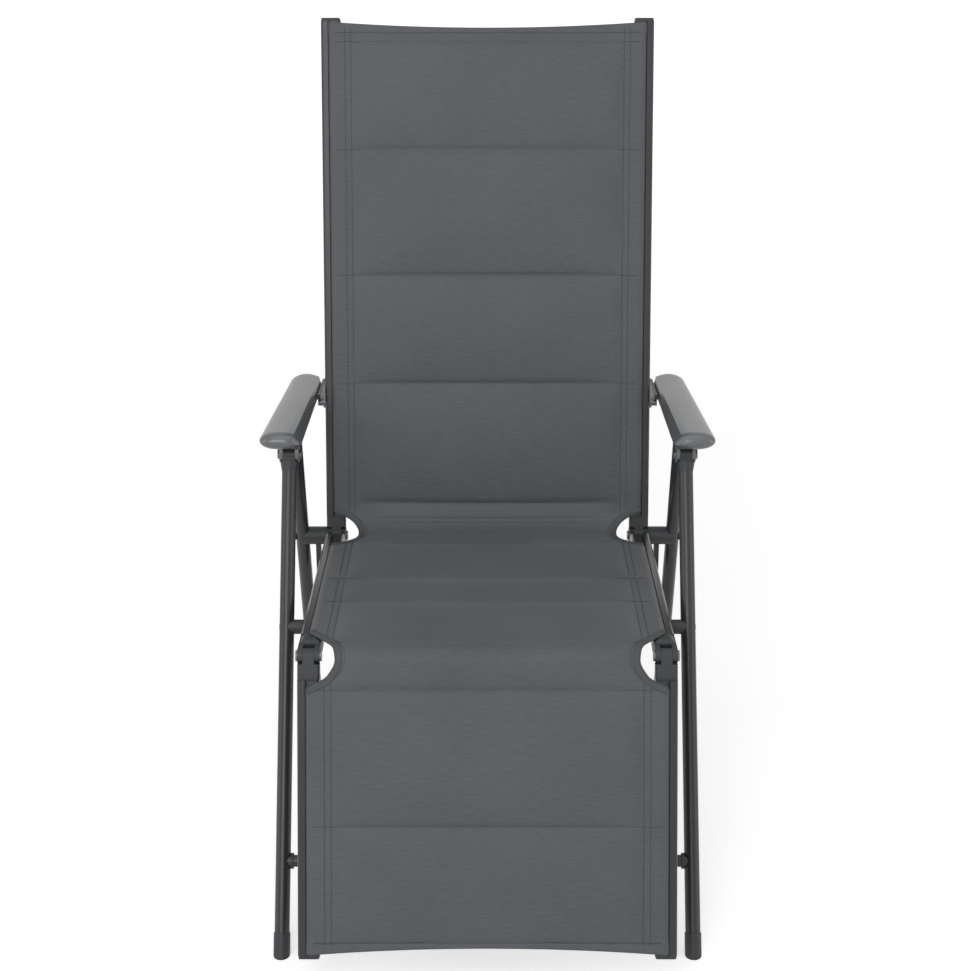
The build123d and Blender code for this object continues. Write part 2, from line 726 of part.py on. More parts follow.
# Padded sling: a cloth over each pair of rails with a quilted pad on it
def sling(hinge_point, angle, ends, seams, cut_places, rail_start, rail_length):
    """Cloth between two ends, with cut-outs at the hinges and pads between seams."""
    cloth_bottom = rail_top + cloth_lift
    cloth_top = cloth_bottom + cloth_thickness
    cloth_middle = cloth_bottom + cloth_thickness / 2
    cut_start = seams[0] - overrun
    cut_end = seams[-1] + overrun
    quilt_half_width = pad_half_width + overrun
    front_middle = cloth_top + pad_front_crown + pad_seam_height
    rear_middle = cloth_bottom - pad_rear_crown - pad_seam_height
    with BuildPart() as pad:
        with BuildSketch(side_plane(hinge_point, angle, -quilt_half_width)):
            with BuildLine():
                for first, last in zip(seams, seams[1:]):
                    middle = (first + last) / 2
                    ThreePointArc(
                        (first, cloth_top + pad_seam_height),
                        (middle, cloth_top + pad_front_crown),
                        (last, cloth_top + pad_seam_height),
                    )
                    ThreePointArc(
                        (first, cloth_middle),
                        (middle, cloth_bottom - pad_rear_crown),
                        (last, cloth_middle),
                    )
                for place in (seams[0], seams[-1]):
                    Line((place, cloth_middle), (place, cloth_top + pad_seam_height))
            make_face()
        extrude(amount=2 * quilt_half_width)
        with BuildSketch(section_plane(along(hinge_point, angle, cut_start), angle)):
            with BuildLine():
                for middle in (front_middle, rear_middle):
                    ThreePointArc((-slot_x, -cloth_middle), (0, -middle), (slot_x, -cloth_middle))
            make_face()
        extrude(amount=cut_end - cut_start, mode=Mode.INTERSECT)
        drawn_in = pad_half_width - pad_side_draw
        with BuildSketch(face_plane(hinge_point, angle, 0)):
            with BuildLine():
                for side in (-1, 1):
                    ThreePointArc(
                        (side * pad_half_width, cut_start),
                        (side * drawn_in, (cut_start + cut_end) / 2),
                        (side * pad_half_width, cut_end),
                    )
                for place in (cut_start, cut_end):
                    Line((-pad_half_width, place), (pad_half_width, place))
            make_face()
        extrude(amount=2 * front_middle, mode=Mode.INTERSECT)
    with BuildPart() as piece:
        with BuildSketch(face_plane(hinge_point, angle, cloth_bottom)):
            with Locations((0, (ends[0] + ends[1]) / 2)):
                Rectangle(2 * slot_x + cloth_thickness, ends[1] - ends[0])
            for place in cut_places:
                with Locations((-rail_inner_x, place), (rail_inner_x, place)):
                    Circle(cutout_radius, mode=Mode.SUBTRACT)
                with Locations((-frame_half_width, place), (frame_half_width, place)):
                    Rectangle(2 * rail_width, 2 * cutout_radius, mode=Mode.SUBTRACT)
            if len(cut_places) == 1:
                free_end = max(ends, key=abs)
                drawn_end = free_end - cloth_sag if free_end > 0 else free_end + cloth_sag
                with BuildLine():
                    ThreePointArc(
                        (-rail_inner_x, free_end), (0, drawn_end), (rail_inner_x, free_end)
                    )
                    Line((-rail_inner_x, free_end), (rail_inner_x, free_end))
                make_face(mode=Mode.SUBTRACT)
        extrude(amount=cloth_thickness)
        edge_top = rail_top - channel_depth + cord_radius
        edge_middle = along(rail_start, angle, 0, (edge_top + cloth_top) / 2)
        with BuildSketch(section_plane(edge_middle, angle)):
            with Locations((-slot_x, 0), (slot_x, 0)):
                Rectangle(cloth_thickness, cloth_top - edge_top)
        extrude(amount=rail_length)
        add(pad.part)
    return piece.part


back_ends = (back_cloth_inset, back_length - cloth_end_inset)
seat_ends = (seat_front_inset, seat_length - seat_rear_inset)
footrest_ends = (cloth_end_inset - footrest_length, -footrest_cloth_inset)
back_seams = [share * back_length for share in back_seam_shares]
seat_seams = [share * seat_length for share in seat_seam_shares]
footrest_seams = [-share * footrest_length for share in reversed(footrest_seam_shares)]
slings = {
    "back": (rear_hinge, back_angle, back_ends, back_seams, (0,)),
    "seat": (front_hinge, seat_angle, seat_ends, seat_seams, (0, seat_length)),
    "footrest": (front_hinge, footrest_angle, footrest_ends, footrest_seams, (0,)),
}
for panel, sizes in slings.items():
    rail_start, rail_angle, rail_length = rails[panel]
    write(sling(*sizes, rail_start, rail_length), f"{panel}_sling")
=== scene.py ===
"""Finish of a reclining garden armchair: padded sling, sewing, bound edges, metals and stage."""

import json
from math import cos, exp, pi, radians, sin, sqrt, tan

import bmesh
import bpy
from bpy.props import FloatProperty, FloatVectorProperty, PointerProperty
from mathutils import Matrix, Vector


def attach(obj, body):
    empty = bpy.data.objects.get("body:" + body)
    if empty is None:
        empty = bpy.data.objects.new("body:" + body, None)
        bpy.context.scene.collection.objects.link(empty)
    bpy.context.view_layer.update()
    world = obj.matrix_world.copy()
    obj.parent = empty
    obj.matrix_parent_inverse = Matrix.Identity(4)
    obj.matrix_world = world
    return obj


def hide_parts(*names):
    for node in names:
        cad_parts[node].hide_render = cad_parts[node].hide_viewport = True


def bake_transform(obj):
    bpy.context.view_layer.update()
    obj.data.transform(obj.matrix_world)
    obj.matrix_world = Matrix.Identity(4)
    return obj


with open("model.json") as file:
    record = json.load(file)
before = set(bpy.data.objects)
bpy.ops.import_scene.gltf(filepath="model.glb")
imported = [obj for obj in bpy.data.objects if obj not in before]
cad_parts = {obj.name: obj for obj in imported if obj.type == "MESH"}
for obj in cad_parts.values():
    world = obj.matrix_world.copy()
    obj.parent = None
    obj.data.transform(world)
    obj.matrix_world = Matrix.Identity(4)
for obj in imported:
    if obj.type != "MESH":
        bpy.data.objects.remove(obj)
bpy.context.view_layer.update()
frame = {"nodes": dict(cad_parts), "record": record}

bl_info = {
    "name": "Reclining Garden Armchair",
    "version": (1, 0, 0),
    "blender": (4, 5, 0),
    "location": "3D Viewport > Sidebar > Armchair",
    "description": "Dresses the packed armchair with its padded sling, sewing, finishes and stage",
    "category": "Object",
}

MM = 0.001


def linear(code):
    """An sRGB hex value as linear red, green, blue."""
    parts = (int(code[place : place + 2], 16) / 255 for place in (1, 3, 5))
    return tuple(p / 12.92 if p <= 0.04045 else ((p + 0.055) / 1.055) ** 2.4 for p in parts)


# Places of the panels in the side view, as in the construction, in millimetres
front_hinge = Vector((-250.1734, 413.0))
seat_length = 463.4
seat_angle = radians(-2.35)
back_angle = radians(77.93)
footrest_angle = radians(71.94)
rear_hinge = front_hinge + seat_length * Vector((cos(seat_angle), sin(seat_angle)))
cloth_rise = 14.5
back_reach = 750.0
footrest_reach = 378.0


class ClothSettings(bpy.types.PropertyGroup):
    """Sizes and colours of the padded sling."""

    crown: FloatProperty(
        name="Padding crown",
        description="Height of each padded channel over its seams",
        default=8.5 * MM,
        min=0.0,
        subtype="DISTANCE",
        unit="LENGTH",
    )
    pad_half_width: FloatProperty(
        name="Padding half width",
        description="From the middle of the sling to the side seam of its padding",
        default=197 * MM,
        subtype="DISTANCE",
        unit="LENGTH",
    )
    thread_pitch: FloatProperty(
        name="Thread pitch",
        description="Distance between threads, drawn twice as coarse as the real 1 mm so it shows",
        default=2.0 * MM,
        subtype="DISTANCE",
        unit="LENGTH",
    )
    stitch_pitch: FloatProperty(
        name="Stitch pitch",
        description="Distance from one stitch to the next along a seam",
        default=4.5 * MM,
        subtype="DISTANCE",
        unit="LENGTH",
    )
    binding_radius: FloatProperty(
        name="Binding radius",
        description="Half the thickness of the bound edge round each hinge cut-out",
        default=1.7 * MM,
        subtype="DISTANCE",
        unit="LENGTH",
    )
    dark_thread: FloatVectorProperty(
        name="Dark thread",
        description="Colour of the darker yarn of the sling",
        default=linear("#424548"),
        subtype="COLOR",
        size=3,
        min=0.0,
        max=1.0,
    )
    light_thread: FloatVectorProperty(
        name="Light thread",
        description="Colour of the lighter yarn of the sling",
        default=linear("#626569"),
        subtype="COLOR",
        size=3,
        min=0.0,
        max=1.0,
    )
    sewing_thread: FloatVectorProperty(
        name="Sewing thread",
        description="Colour of the stitches",
        default=linear("#3C3F42"),
        subtype="COLOR",
        size=3,
        min=0.0,
        max=1.0,
    )


class FrameSettings(bpy.types.PropertyGroup):
    """Colours of the frame and its fittings."""

    powder_coat: FloatVectorProperty(
        name="Powder coat",
        description="Colour of the coated tubes and rails",
        default=linear("#37383A"),
        subtype="COLOR",
        size=3,
        min=0.0,
        max=1.0,
    )
    fitting: FloatVectorProperty(
        name="Fittings",
        description="Colour of the moulded hinges, caps and feet",
        default=linear("#2B2D2F"),
        subtype="COLOR",
        size=3,
        min=0.0,
        max=1.0,
    )
    armrest: FloatVectorProperty(
        name="Armrests",
        description="Colour of the moulded armrests",
        default=linear("#585A5D"),
        subtype="COLOR",
        size=3,
        min=0.0,
        max=1.0,
    )
    pin: FloatVectorProperty(
        name="Pins",
        description="Colour of the dark plated pins and bolts",
        default=linear("#6A6B6D"),
        subtype="COLOR",
        size=3,
        min=0.0,
        max=1.0,
    )


class StageSettings(bpy.types.PropertyGroup):
    """Camera, floor and light."""

    focal_length: FloatProperty(
        name="Focal length",
        description="Lens of the photograph's camera, in millimetres on a 36 mm sensor",
        default=69.44,
    )
    camera_height: FloatProperty(
        name="Camera height",
        description="Height of the lens over the floor",
        default=1.4248,
        subtype="DISTANCE",
        unit="LENGTH",
    )
    camera_distance: FloatProperty(
        name="Camera distance",
        description="From the lens to the front hinge, along the floor",
        default=2.151,
        subtype="DISTANCE",
        unit="LENGTH",
    )
    camera_pitch: FloatProperty(
        name="Camera pitch",
        description="How far the camera looks down",
        default=radians(20),
        subtype="ANGLE",
        unit="ROTATION",
    )
    floor: FloatVectorProperty(
        name="Floor",
        description="Colour of the floor",
        default=linear("#F4F4F4"),
        subtype="COLOR",
        size=3,
        min=0.0,
        max=1.0,
    )


# Materials
def add_node(tree, kind, values=None, links=None):
    """A node with its settings and input values, and its inputs linked from other sockets."""
    node = tree.nodes.new(kind)
    for name, value in (values or {}).items():
        if isinstance(name, str) and hasattr(node, name):
            setattr(node, name, value)
        else:
            node.inputs[name].default_value = value
    for name, socket in (links or {}).items():
        tree.links.new(socket, node.inputs[name])
    return node


def new_material(name):
    """An empty material and its node tree."""
    material = bpy.data.materials.new(name)
    material.use_nodes = True
    material.node_tree.nodes.clear()
    return material, material.node_tree


def finish_material(tree, values, links):
    """Ends a material's tree with its shader and its output."""
    shader = add_node(tree, "ShaderNodeBsdfPrincipled", values, links)
    add_node(tree, "ShaderNodeOutputMaterial", links={"Surface": shader.outputs["BSDF"]})


def colour(values):
    return (*values, 1.0)


def band_scale(pitch):
    """Scale of a wave texture whose bands lie one pitch apart."""
    return 2 * pi / (20 * pitch)


def coated_mesh_fabric(settings):
    """PVC-coated polyester mesh: matt, faintly shiny yarns with streaks along the weft."""
    material, tree = new_material("pvc_coated_polyester_mesh")
    weave = add_node(tree, "ShaderNodeUVMap", {"uv_map": "cloth"})
    place = weave.outputs["UV"]
    bands = {"Scale": band_scale(settings.thread_pitch), "Distortion": 0.25}
    warp = add_node(tree, "ShaderNodeTexWave", {"bands_direction": "X", **bands}, {"Vector": place})
    weft = add_node(tree, "ShaderNodeTexWave", {"bands_direction": "Y", **bands}, {"Vector": place})
    crossing = add_node(
        tree, "ShaderNodeMath", {"operation": "MULTIPLY"}, {0: warp.outputs["Fac"], 1: weft.outputs["Fac"]}
    )
    # Slubs in the weft are about 16 mm long and 2 mm high
    weft_place = add_node(tree, "ShaderNodeMapping", {"Scale": (62.0, 500.0, 1.0)}, {"Vector": place})
    weft_streaks = add_node(
        tree, "ShaderNodeTexNoise", {"Scale": 1.0, "Detail": 3.0}, {"Vector": weft_place.outputs["Vector"]}
    )
    # Slightly lighter and darker clouds, about 140 mm across
    cloudy = add_node(tree, "ShaderNodeTexNoise", {"Scale": 7.0, "Detail": 3.0}, {"Vector": place})
    both = add_node(
        tree,
        "ShaderNodeMath",
        {"operation": "MULTIPLY_ADD", 1: 0.3},
        {0: crossing.outputs["Value"], 2: weft_streaks.outputs["Fac"]},
    )
    shade = add_node(
        tree,
        "ShaderNodeMath",
        {"operation": "MULTIPLY_ADD", 1: 0.5},
        {0: cloudy.outputs["Fac"], 2: both.outputs["Value"]},
    )
    spread = add_node(
        tree,
        "ShaderNodeMapRange",
        {"From Min": 0.35, "From Max": 1.4},
        {"Value": shade.outputs["Value"]},
    )
    yarn = add_node(
        tree,
        "ShaderNodeMix",
        {"data_type": "RGBA", 6: colour(settings.dark_thread), 7: colour(settings.light_thread)},
        {0: spread.outputs["Result"]},
    )
    rough = add_node(
        tree, "ShaderNodeMapRange", {"To Min": 0.5, "To Max": 0.68}, {"Value": weft_streaks.outputs["Fac"]}
    )
    relief = add_node(
        tree,
        "ShaderNodeBump",
        {"Strength": 0.35, "Distance": 0.5 * MM},
        {"Height": both.outputs["Value"]},
    )
    finish_material(
        tree,
        {"IOR": 1.5, "Sheen Weight": 0.12, "Sheen Roughness": 0.5},
        {
            "Base Color": yarn.outputs[2],
            "Roughness": rough.outputs["Result"],
            "Normal": relief.outputs["Normal"],
        },
    )
    return material


def grained_material(name, tone, roughness, metallic, grain_mm, relief_mm, variation=0.12, ior=1.5):
    """A coated or moulded surface: even colour with fine grain and slightly uneven gloss."""
    material, tree = new_material(name)
    place = add_node(tree, "ShaderNodeTexCoord").outputs["Object"]
    grain = add_node(
        tree, "ShaderNodeTexNoise", {"Scale": 1 / (grain_mm * MM), "Detail": 2.0}, {"Vector": place}
    )
    # Patches about 110 mm across, in which colour and gloss drift a little
    patches = add_node(tree, "ShaderNodeTexNoise", {"Scale": 9.0, "Detail": 4.0}, {"Vector": place})
    darker = colour(tuple(value * (1 - variation) for value in tone))
    lighter = colour(tuple(min(1.0, value * (1 + variation)) for value in tone))
    base = add_node(
        tree, "ShaderNodeMix", {"data_type": "RGBA", 6: darker, 7: lighter}, {0: patches.outputs["Fac"]}
    )
    rough = add_node(
        tree,
        "ShaderNodeMapRange",
        {"To Min": roughness - 0.06, "To Max": roughness + 0.06},
        {"Value": patches.outputs["Fac"]},
    )
    relief = add_node(
        tree,
        "ShaderNodeBump",
        {"Strength": 0.3, "Distance": relief_mm * MM},
        {"Height": grain.outputs["Fac"]},
    )
    finish_material(
        tree,
        {"Metallic": metallic, "IOR": ior},
        {
            "Base Color": base.outputs[2],
            "Roughness": rough.outputs["Result"],
            "Normal": relief.outputs["Normal"],
        },
    )
    return material


# The sling's line in the side view, from the top of the back to the foot of the footrest
def direction(angle):
    return Vector((cos(angle), sin(angle)))


def normal(angle):
    return Vector((-sin(angle), cos(angle)))


def arc_between(angle_in, angle_out, corner, tangent):
    """Arc from one travelling direction to another: its start, centre, radius, turn and side."""
    turn = (angle_out - angle_in + pi) % (2 * pi) - pi
    radius = tangent / tan(abs(turn) / 2)
    start = corner - tangent * direction(angle_in)
    side = 1 if turn > 0 else -1
    centre = start + side * radius * normal(angle_in)
    return start, centre, radius, turn, side


class SlingLine:
    """The cloth's middle line: travelling down the back, forward on the seat and down the footrest."""

    def __init__(self):
        down_back = back_angle + pi
        forward = seat_angle + pi
        down_footrest = footrest_angle + pi
        rear_turn = (back_angle - seat_angle) / 2
        front_turn = (footrest_angle - seat_angle) / 2
        self.rear_reach = cloth_rise * tan(rear_turn)
        self.front_reach = cloth_rise * tan(front_turn)
        rear_corner = self.on_panel("back", self.rear_reach)
        front_corner = self.on_panel("seat", -self.front_reach)
        self.rear_tangent = 34.0
        self.front_tangent = 17.0
        top = self.on_panel("back", back_reach)
        bottom = self.on_panel("footrest", -footrest_reach)
        rear = arc_between(down_back, forward, rear_corner, self.rear_tangent)
        front = arc_between(forward, down_footrest, front_corner, self.front_tangent)
        self.runs = []
        self.length = 0.0
        self.add_straight(top, rear[0], down_back)
        self.rear_arc_start = self.length
        self.add_arc(rear, down_back)
        self.rear_arc_end = self.length
        seat_start = rear_corner + self.rear_tangent * direction(forward)
        self.add_straight(seat_start, front[0], forward)
        self.front_arc_start = self.length
        self.add_arc(front, forward)
        self.front_arc_end = self.length
        foot_start = front_corner + self.front_tangent * direction(down_footrest)
        self.add_straight(foot_start, bottom, down_footrest)

    def on_panel(self, panel, place):
        point, angle = {
            "back": (rear_hinge, back_angle),
            "seat": (front_hinge, seat_angle),
            "footrest": (front_hinge, footrest_angle),
        }[panel]
        return point + place * direction(angle) + cloth_rise * normal(angle)

    def add_straight(self, start, end, angle):
        span = (end - start).length
        self.runs.append((self.length, span, start, angle, None))
        self.length += span

    def add_arc(self, arc, angle):
        span = arc[2] * abs(arc[3])
        self.runs.append((self.length, span, arc[0], angle, arc))
        self.length += span

    def mark(self, panel, place):
        """How far along the line a place on a panel's straight run is."""
        if panel == "back":
            return back_reach - place
        if panel == "seat":
            seat_rear = seat_length - self.rear_reach - self.rear_tangent
            return self.rear_arc_end + seat_rear - place
        return self.front_arc_end - place + self.front_reach - self.front_tangent

    def rear_turn(self, share):
        return self.rear_arc_start + share * (self.rear_arc_end - self.rear_arc_start)

    def front_turn(self, share):
        return self.front_arc_start + share * (self.front_arc_end - self.front_arc_start)

    def at(self, length):
        """Point and sitting-side normal at a length along the line."""
        chosen = self.runs[-1]
        for run in self.runs:
            if length <= run[0] + run[1]:
                chosen = run
                break
        first, span, start, angle, arc = chosen
        travelled = length - first
        if arc is None:
            return start + travelled * direction(angle), -1 * normal(angle)
        _, centre, radius, turn, side = arc
        heading = angle + turn * travelled / span
        return centre - side * radius * normal(heading), -1 * normal(heading)


line = SlingLine()
split_mark = line.mark("seat", 238.0)

# The cloth, in millimetres: its edge in the rails' slots, its thickness, dip and sag, and its free ends
full_half_width = 229.6
slot_half_width = 227.4
cloth_half_thickness = 1.2
slot_dip = 4.0
sag = 3.0
hem_width = 17.0
hem_rise = 0.8
hem_slope = 1.2
hollow_depth = 8.0
hollow_reach = 120.0
row_pitch = 2.4
column_count = 100

# The padding: how much of it shows at the rear, how far the sides draw in, and how round it is
rear_crown_share = 0.45
side_draw_in = 4.5
side_power = 6
side_fall = 0.25
channel_power = 0.55

# Folds and puckers, in millimetres: how high or deep, how far they reach, and their waves and phases
upper_fold_depth = 1.6
upper_fold_reach = 3.5
lower_fold_depth = 1.4
lower_fold_reach = 3.0
fold_half_width = 200
fold_power = 8
fold_bow = 3
fold_bow_width = 150
groove_depth = 1.1
groove_reach = 3.2
pull_height = 0.45
pull_reach = 12
pull_waves = (9.0, 23.0, 31.0)
pull_phase = 1.7
slack_height = 0.3
slack_waves = (57.0, 19.0, 47.0)
slack_phase = 0.8

# The tapes and bound edges of the cut-outs, and the sewing, in millimetres
binding_band = 12.0
binding_inset = 0.4
rear_tape_width = 7.5
front_tape_width = 8.0
tape_rise = 0.8
tape_sink = 0.4
tape_shares = (0.06, 0.3, 0.55, 0.8, 1.0)
hem_seam_inset = 2
side_seam_gap = 8.5
side_seam_start = 10
side_seam_step = 3
thread_proud = 0.25
thread_radius = 0.38
stitch_share = 0.72

# Hinge cut-outs: places along the sling, each with how far the cut reaches in from the side
rear_cut = (
    (line.rear_turn(0.14), 0.0),
    (line.rear_turn(0.25), 18.0),
    (line.rear_turn(0.45), 33.0),
    (line.rear_turn(0.75), 40.0),
    (line.mark("seat", 409.0), 36.0),
    (line.mark("seat", 393.0), 22.0),
    (line.mark("seat", 381.0), 0.0),
)
front_cut = (
    (line.mark("seat", 44.0), 0.0),
    (line.mark("seat", 17.0), 22.0),
    (line.mark("seat", 2.0), 33.0),
    (line.front_turn(0.5), 37.0),
    (line.mark("footrest", -8.0), 38.0),
    (line.mark("footrest", -22.0), 30.5),
    (line.mark("footrest", -29.0), 23.5),
    (line.mark("footrest", -40.0), 0.0),
)

# Seams across the padding, each with the crown of the channel that follows it, as shares of the crown
seam_marks = (
    (line.mark("back", 722.0), 0.85),
    (line.mark("back", 569.0), 1.0),
    (line.mark("back", 388.0), 1.0),
    (line.mark("back", 229.0), 0.95),
    (line.mark("back", 50.0), 0.35),
    (line.rear_turn(0.36), 0.5),
    (line.mark("seat", 388.0), 0.8),
    (line.mark("seat", 238.0), 0.6),
    (line.mark("seat", 150.0), 0.85),
    (line.mark("seat", 8.0), 0.6),
    (line.mark("footrest", -42.0), 0.9),
    (line.mark("footrest", -215.0), 0.85),
    (line.mark("footrest", -362.0), 0.0),
)
fold_marks = (line.mark("back", 50.0), line.rear_turn(0.36))
sewn_marks = tuple(mark for mark, _ in seam_marks if mark not in fold_marks)


def smooth_height(points, length):
    """Height at a length on the smooth curve through (length, height) points, and none outside them."""
    befores = points[:1] + points
    afters = points[2:] + points[-1:]
    for before, first, last, after in zip(befores, points, points[1:], afters):
        if first[0] <= length <= last[0]:
            span = last[0] - first[0]
            share = (length - first[0]) / span
            leaving = (last[1] - before[1]) / (last[0] - before[0]) * span
            arriving = (after[1] - first[1]) / (after[0] - first[0]) * span
            rise = last[1] - first[1]
            cubic = leaving + arriving - 2 * rise
            square = 3 * rise - 2 * leaving - arriving
            return max(0.0, first[1] + share * (leaving + share * (square + share * cubic)))
    return 0.0


def half_width(length):
    """From the middle of the cloth to its edge, cut-outs taken off, in millimetres."""
    return full_half_width - smooth_height(rear_cut, length) - smooth_height(front_cut, length)


def channel_height(length):
    """Share of the crown that the padding has at a length along the sling."""
    for (first, crown), (last, _) in zip(seam_marks, seam_marks[1:]):
        if first <= length < last:
            share = (length - first) / (last - first)
            return crown * sin(pi * share) ** channel_power
    return 0.0


def side_share(x, length, pad_half):
    """Share of the crown left at a distance from the middle; the sides draw in between seams."""
    drawn = pad_half - side_draw_in * channel_height(length)
    drawn = min(drawn, half_width(length) - binding_band)
    reach = min(1.0, abs(x) / drawn)
    return sqrt(max(0.0, 1 - reach**side_power)) * (1 - side_fall * reach**2)


def ridge(distance, reach):
    """Share of a rounded ridge's height left at a distance from its middle."""
    return exp(-((distance / reach) ** 2))


def creases(length, x):
    """Folds between the rear cut-outs, grooves and slight pulls along the seams, and slack."""
    upper, lower = fold_marks
    wide = max(0.0, 1 - (abs(x) / fold_half_width) ** fold_power)
    bowed = length - upper + fold_bow * (x / fold_bow_width) ** 2
    fold = upper_fold_depth * ridge(bowed, upper_fold_reach)
    fold += lower_fold_depth * ridge(length - lower, lower_fold_reach)
    near_seam = min(abs(length - mark) for mark in sewn_marks)
    across, along, between = pull_waves
    pull = pull_height * sin(x / across + length / along) * sin(x / between + pull_phase)
    across, along, between = slack_waves
    slack = slack_height * sin(x / across + length / along) * sin(length / between + slack_phase)
    groove = groove_depth * ridge(near_seam, groove_reach)
    return -fold * wide - groove + pull * ridge(near_seam, pull_reach) + slack


def hem_height(length):
    """The turned-back hem stands a little proud at each free end."""
    from_end = min(length, line.length - length)
    return hem_rise / (1 + exp((from_end - hem_width) / hem_slope))


def sling_point(length, x, crown, pad_half, side):
    """A point of the sling's front (side 1) or rear (side -1) face, in metres."""
    point, face = line.at(length)
    padded = side_share(x, length, pad_half)
    lift = padded * channel_height(length) * crown
    middle = 1 - (x / full_half_width) ** 2
    if side > 0:
        rise = cloth_half_thickness + lift + creases(length, x) * padded + hem_height(length)
    else:
        rise = -cloth_half_thickness - rear_crown_share * lift
    if abs(x) > slot_half_width:
        rise -= slot_dip
    rise -= sag * middle
    place = point + rise * face
    return Vector((x, place[0], place[1])) * MM


def mesh_object(name, build_mesh):
    mesh = bpy.data.meshes.new(name)
    build_mesh.to_mesh(mesh)
    build_mesh.free()
    piece = bpy.data.objects.new(name, mesh)
    bpy.context.collection.objects.link(piece)
    return piece


def smooth(piece):
    for face in piece.data.polygons:
        face.use_smooth = True


def make_sling(name, first, last, settings, material):
    """A closed padded sheet between two lengths along the sling's line."""
    rows = int((last - first) / row_pitch) + 1
    columns = column_count
    crown = settings.crown / MM
    pad_half = settings.pad_half_width / MM
    build = bmesh.new()
    cloth_map = build.loops.layers.uv.new("cloth")
    faces_of = []
    places = []
    for side in (1, -1):
        grid = []
        for row in range(rows + 1):
            length = first + (last - first) * row / rows
            # The free ends are cut hollow and turned back in a hem
            wide = half_width(length)
            line_of = []
            for column in range(columns + 1):
                x = wide * (2 * column / columns - 1)
                hollow = hollow_depth * (1 - (x / full_half_width) ** 2)
                pulled = length
                if first == 0:
                    pulled += hollow * max(0.0, 1 - length / hollow_reach)
                if last > line.length - 1:
                    pulled -= hollow * max(0.0, 1 - (line.length - length) / hollow_reach)
                vertex = build.verts.new(sling_point(pulled, x, crown, pad_half, side))
                places.append((vertex, x, pulled))
                line_of.append(vertex)
            grid.append(line_of)
        faces_of.append(grid)
    front, rear = faces_of
    where = {vertex: (x * MM, length * MM) for vertex, x, length in places}
    for row in range(rows):
        for column in range(columns):
            for grid in (front, rear):
                near, far = grid[row], grid[row + 1]
                build.faces.new((near[column], near[column + 1], far[column + 1], far[column]))
    for row in range(rows):
        above, below = row, row + 1
        for column in (0, columns):
            corners = (front[above], front[below], rear[below], rear[above])
            build.faces.new([corner[column] for corner in corners])
    for row in (0, rows):
        over, under = front[row], rear[row]
        for column in range(columns):
            build.faces.new((over[column], over[column + 1], under[column + 1], under[column]))
    for face in build.faces:
        for loop in face.loops:
            loop[cloth_map].uv = where[loop.vert]
    bmesh.ops.recalc_face_normals(build, faces=build.faces)
    piece = mesh_object(name, build)
    piece.data.materials.append(material)
    smooth(piece)
    return piece


def tube_along(build, points, radius, sides=8):
    """Adds a round tube with closed ends through a list of points."""
    rings = []
    for place, point in enumerate(points):
        ahead = points[min(place + 1, len(points) - 1)] - points[max(place - 1, 0)]
        along = ahead.normalized()
        across = along.cross(Vector((0, 0, 1)))
        if across.length < 0.2:
            across = along.cross(Vector((0, 1, 0)))
        across.normalize()
        upward = across.cross(along)
        ring = []
        for k in range(sides):
            turn = 2 * pi * k / sides
            ring.append(build.verts.new(point + radius * (cos(turn) * across + sin(turn) * upward)))
        rings.append(ring)
    for lower, upper in zip(rings, rings[1:]):
        for k in range(sides):
            build.faces.new((lower[k], lower[(k + 1) % sides], upper[(k + 1) % sides], upper[k]))
    build.faces.new(rings[0])
    build.faces.new(rings[-1])


def tape_beside(build, cut, side, crown, pad_half):
    """Adds the flat tape sewn on the cloth along one cut-out's edge."""
    first, last = cut[0][0], cut[-1][0]
    steps = 80
    edge = []
    for step in range(steps + 1):
        length = (first + last) / 2 - cos(pi * step / steps) * (last - first) / 2
        edge.append(Vector((length, half_width(length))))
    top = []
    under = []
    for place in range(1, steps):
        ahead = (edge[place + 1] - edge[place - 1]).normalized()
        inward = Vector((ahead[1], -ahead[0]))
        upper_row = []
        lower_row = []
        for share in tape_shares:
            reach = share * (rear_tape_width if cut is rear_cut else front_tape_width)
            length, x = edge[place] + reach * inward
            x = side * min(x, slot_half_width)
            point, face = line.at(length)
            on_cloth = sling_point(length, x, crown, pad_half, 1)
            outward = Vector((0, face[0], face[1])) * MM
            upper_row.append(build.verts.new(on_cloth + tape_rise * outward))
            lower_row.append(build.verts.new(on_cloth - tape_sink * outward))
        top.append(upper_row)
        under.append(lower_row)
    for grid in (top, under):
        for near, far in zip(grid, grid[1:]):
            for k in range(len(near) - 1):
                build.faces.new((near[k], near[k + 1], far[k + 1], far[k]))
    for k in (0, -1):
        for near, far in zip(zip(top, under), zip(top[1:], under[1:])):
            build.faces.new((near[0][k], far[0][k], far[1][k], near[1][k]))
        for k_low in range(len(top[0]) - 1):
            build.faces.new((top[k][k_low], top[k][k_low + 1], under[k][k_low + 1], under[k][k_low]))


def make_binding(name, cut, settings, material):
    """Bound edges of one pair of hinge cut-outs."""
    crown = settings.crown / MM
    pad_half = settings.pad_half_width / MM
    build = bmesh.new()
    first, last = cut[0][0], cut[-1][0]
    steps = 60
    for side in (-1, 1):
        points = []
        for step in range(steps + 1):
            share = -cos(pi * step / steps)
            length = (first + last) / 2 + share * (last - first) / 2
            x = side * (half_width(length) - binding_inset)
            if abs(x) < slot_half_width:
                front = sling_point(length, x, crown, pad_half, 1)
                rear = sling_point(length, x, crown, pad_half, -1)
                points.append((front + rear) / 2)
        tube_along(build, points, settings.binding_radius)
        tape_beside(build, cut, side, crown, pad_half)
    bmesh.ops.recalc_face_normals(build, faces=build.faces)
    piece = mesh_object(name, build)
    piece.data.materials.append(material)
    smooth(piece)
    return piece


